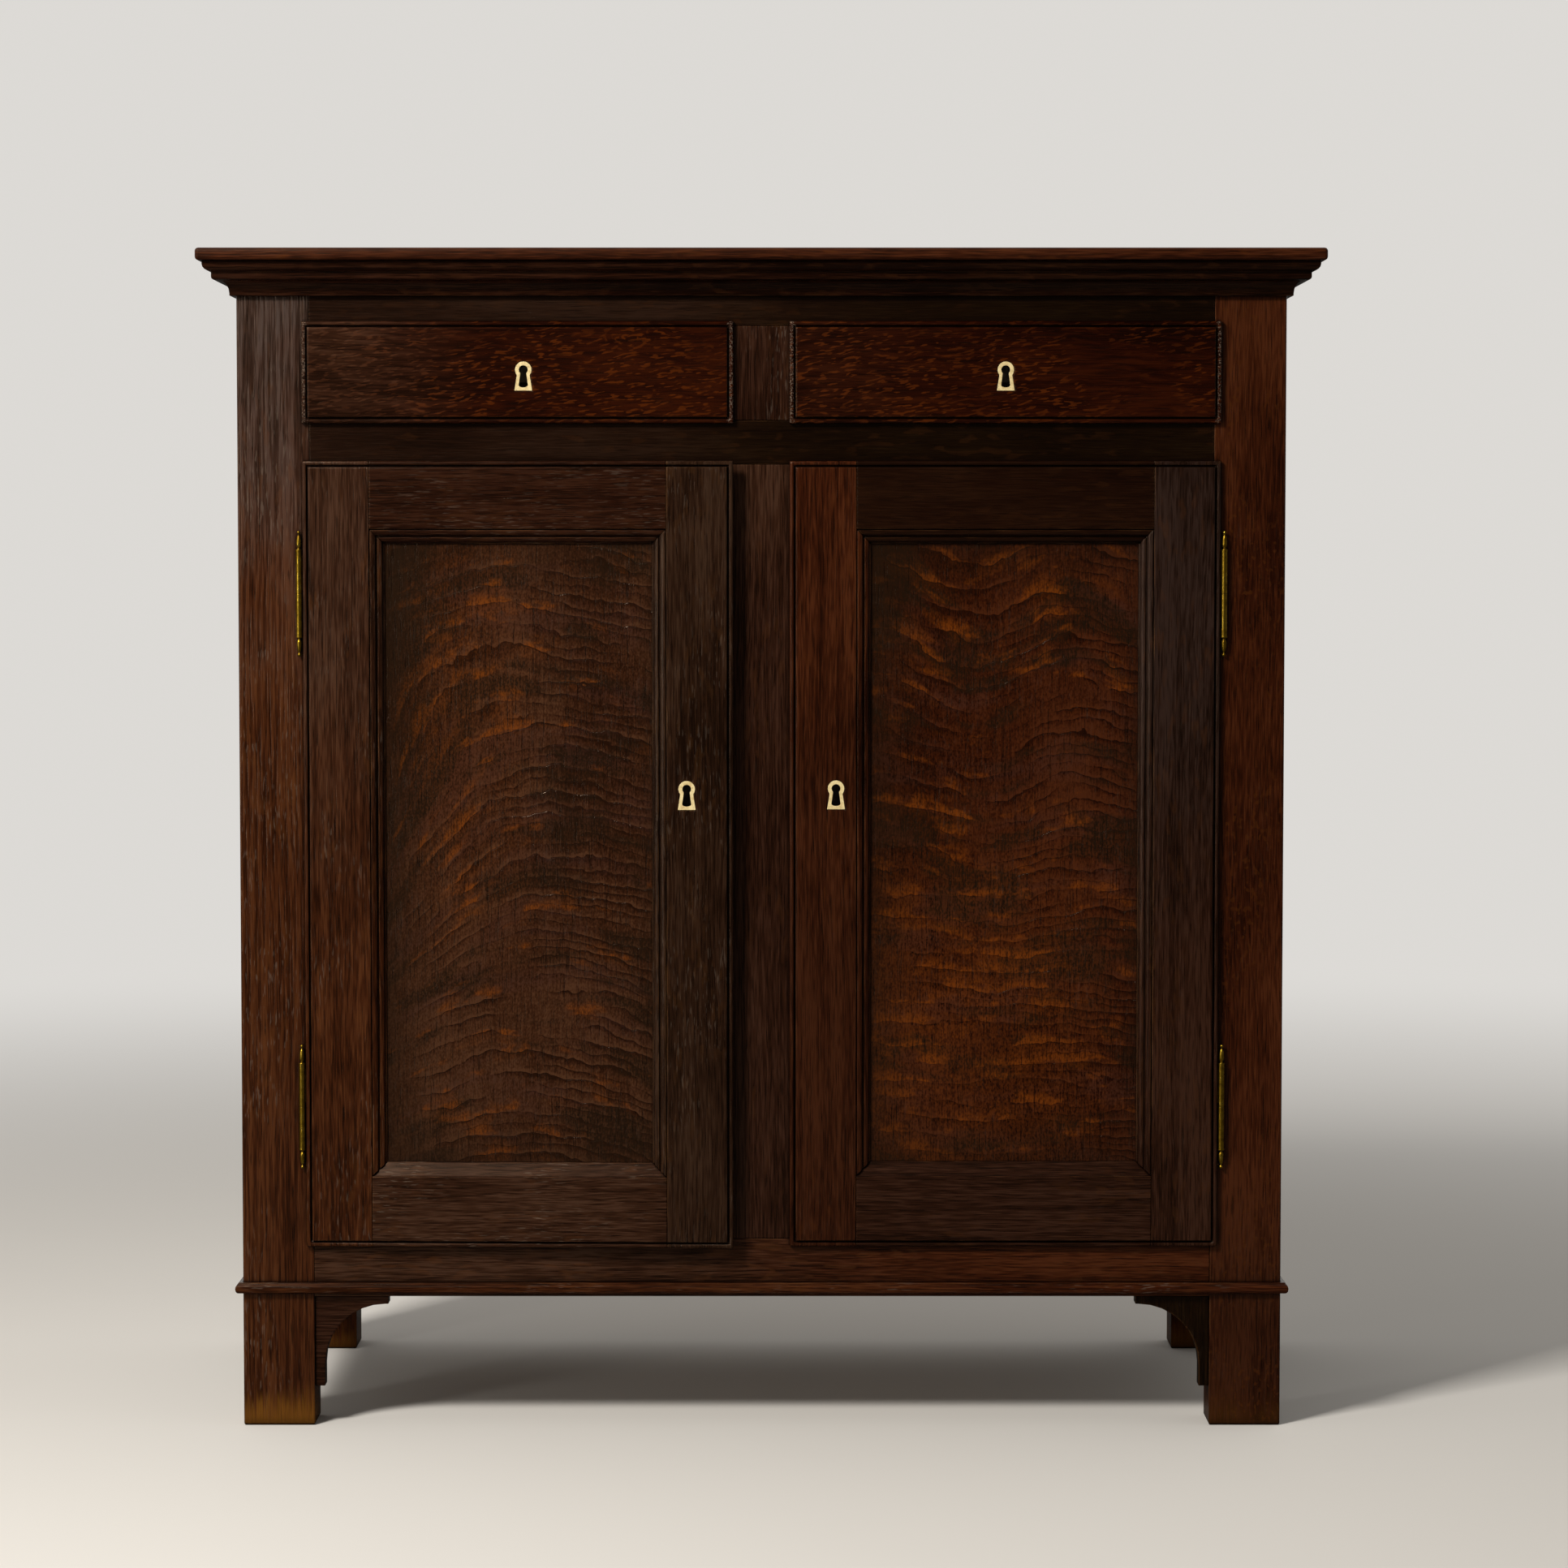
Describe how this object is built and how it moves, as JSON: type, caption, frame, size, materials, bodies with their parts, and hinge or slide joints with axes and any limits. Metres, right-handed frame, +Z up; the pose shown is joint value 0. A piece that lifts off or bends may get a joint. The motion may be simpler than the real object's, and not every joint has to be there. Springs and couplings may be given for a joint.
{
  "type": "sideboard",
  "caption": "Oak sideboard with lipped drawers over framed and panelled cupboard doors, a moulded cornice, a beaded base and bracketed legs; drawers slide, doors swing and lock bolts shoot.",
  "frame": {"origin": "on the floor, under the middle of the whole object's box", "axes": "+Z up, -Y out of the doors and drawers, +X to the right of someone facing the front"},
  "size_m": [1.1, 0.48, 1.161],
  "materials": {
    "dark_oak": "old dark stain, waxed",
    "red_oak": "old reddish-brown stain, waxed",
    "figured_oak": "stained and waxed, quarter-sawn figure",
    "inside_oak": "unfinished, darkened by age",
    "brass": "dull, worn",
    "bone": "pale inlay, matte",
    "lock_iron": "dark iron"
  },
  "bodies": {
    "carcass": {"top_board": "red_oak", "cornice": "red_oak", "front_left_post": "red_oak", "front_right_post": "red_oak", "rear_left_post": "red_oak", "rear_right_post": "red_oak", "top_rail": "dark_oak", "drawer_stile": "dark_oak", "middle_rail": "dark_oak", "centre_stile": "dark_oak", "bottom_rail": "dark_oak", "left_side_panel": "red_oak", "right_side_panel": "red_oak", "back_panel": "inside_oak", "bottom_board": "inside_oak", "shelf": "inside_oak", "drawer_deck": "inside_oak", "base_moulding": "red_oak", "left_bracket": "dark_oak", "right_bracket": "dark_oak", "left_upper_hinge_post_leaf": "brass", "left_lower_hinge_post_leaf": "brass", "right_upper_hinge_post_leaf": "brass", "right_lower_hinge_post_leaf": "brass"},
    "left_door": {"left_door_hinge_stile": "red_oak", "left_door_lock_stile": "red_oak", "left_door_top_rail": "dark_oak", "left_door_bottom_rail": "dark_oak", "left_door_panel": "figured_oak", "left_door_escutcheon": "bone", "left_door_lock_case": "lock_iron", "left_door_upper_hinge_leaf": "brass", "left_door_lower_hinge_leaf": "brass"},
    "right_door": {"right_door_hinge_stile": "red_oak", "right_door_lock_stile": "red_oak", "right_door_top_rail": "dark_oak", "right_door_bottom_rail": "dark_oak", "right_door_panel": "figured_oak", "right_door_escutcheon": "bone", "right_door_lock_case": "lock_iron", "right_door_upper_hinge_leaf": "brass", "right_door_lower_hinge_leaf": "brass"},
    "left_drawer": {"left_drawer_front": "figured_oak", "left_drawer_left_side": "inside_oak", "left_drawer_right_side": "inside_oak", "left_drawer_back": "inside_oak", "left_drawer_bottom": "inside_oak", "left_drawer_escutcheon": "bone", "left_drawer_lock_case": "lock_iron"},
    "right_drawer": {"right_drawer_front": "figured_oak", "right_drawer_left_side": "inside_oak", "right_drawer_right_side": "inside_oak", "right_drawer_back": "inside_oak", "right_drawer_bottom": "inside_oak", "right_drawer_escutcheon": "bone", "right_drawer_lock_case": "lock_iron"},
    "left_door_bolt": {"left_door_lock_bolt": "lock_iron"},
    "right_door_bolt": {"right_door_lock_bolt": "lock_iron"},
    "left_drawer_bolt": {"left_drawer_lock_bolt": "lock_iron"},
    "right_drawer_bolt": {"right_drawer_lock_bolt": "lock_iron"}
  },
  "joints": [
    {"name": "left_door_hinge", "type": "hinge", "parent": "carcass", "child": "left_door", "pos_m": [-0.4542, -0.2087, 0.5719], "axis": [0, 0, -1], "range_deg": [-1.6, 163]},
    {"name": "right_door_hinge", "type": "hinge", "parent": "carcass", "child": "right_door", "pos_m": [0.4542, -0.2087, 0.5719], "axis": [0, 0, 1], "range_deg": [0, 165]},
    {"name": "left_drawer_slide", "type": "slide", "parent": "carcass", "child": "left_drawer", "axis": [0, -1, 0], "range_m": [0, 0.28]},
    {"name": "right_drawer_slide", "type": "slide", "parent": "carcass", "child": "right_drawer", "axis": [0, -1, 0], "range_m": [0, 0.28]},
    {"name": "left_door_bolt_slide", "type": "slide", "parent": "left_door", "child": "left_door_bolt", "axis": [0.9996, -0.0279, 0], "range_m": [0, 0.007]},
    {"name": "right_door_bolt_slide", "type": "slide", "parent": "right_door", "child": "right_door_bolt", "axis": [-1, 0, 0], "range_m": [0, 0.007]},
    {"name": "left_drawer_bolt_slide", "type": "slide", "parent": "left_drawer", "child": "left_drawer_bolt", "axis": [0, 0, 1], "range_m": [0, 0.007]},
    {"name": "right_drawer_bolt_slide", "type": "slide", "parent": "right_drawer", "child": "right_drawer_bolt", "axis": [0, 0, 1], "range_m": [0, 0.007]}
  ]
}
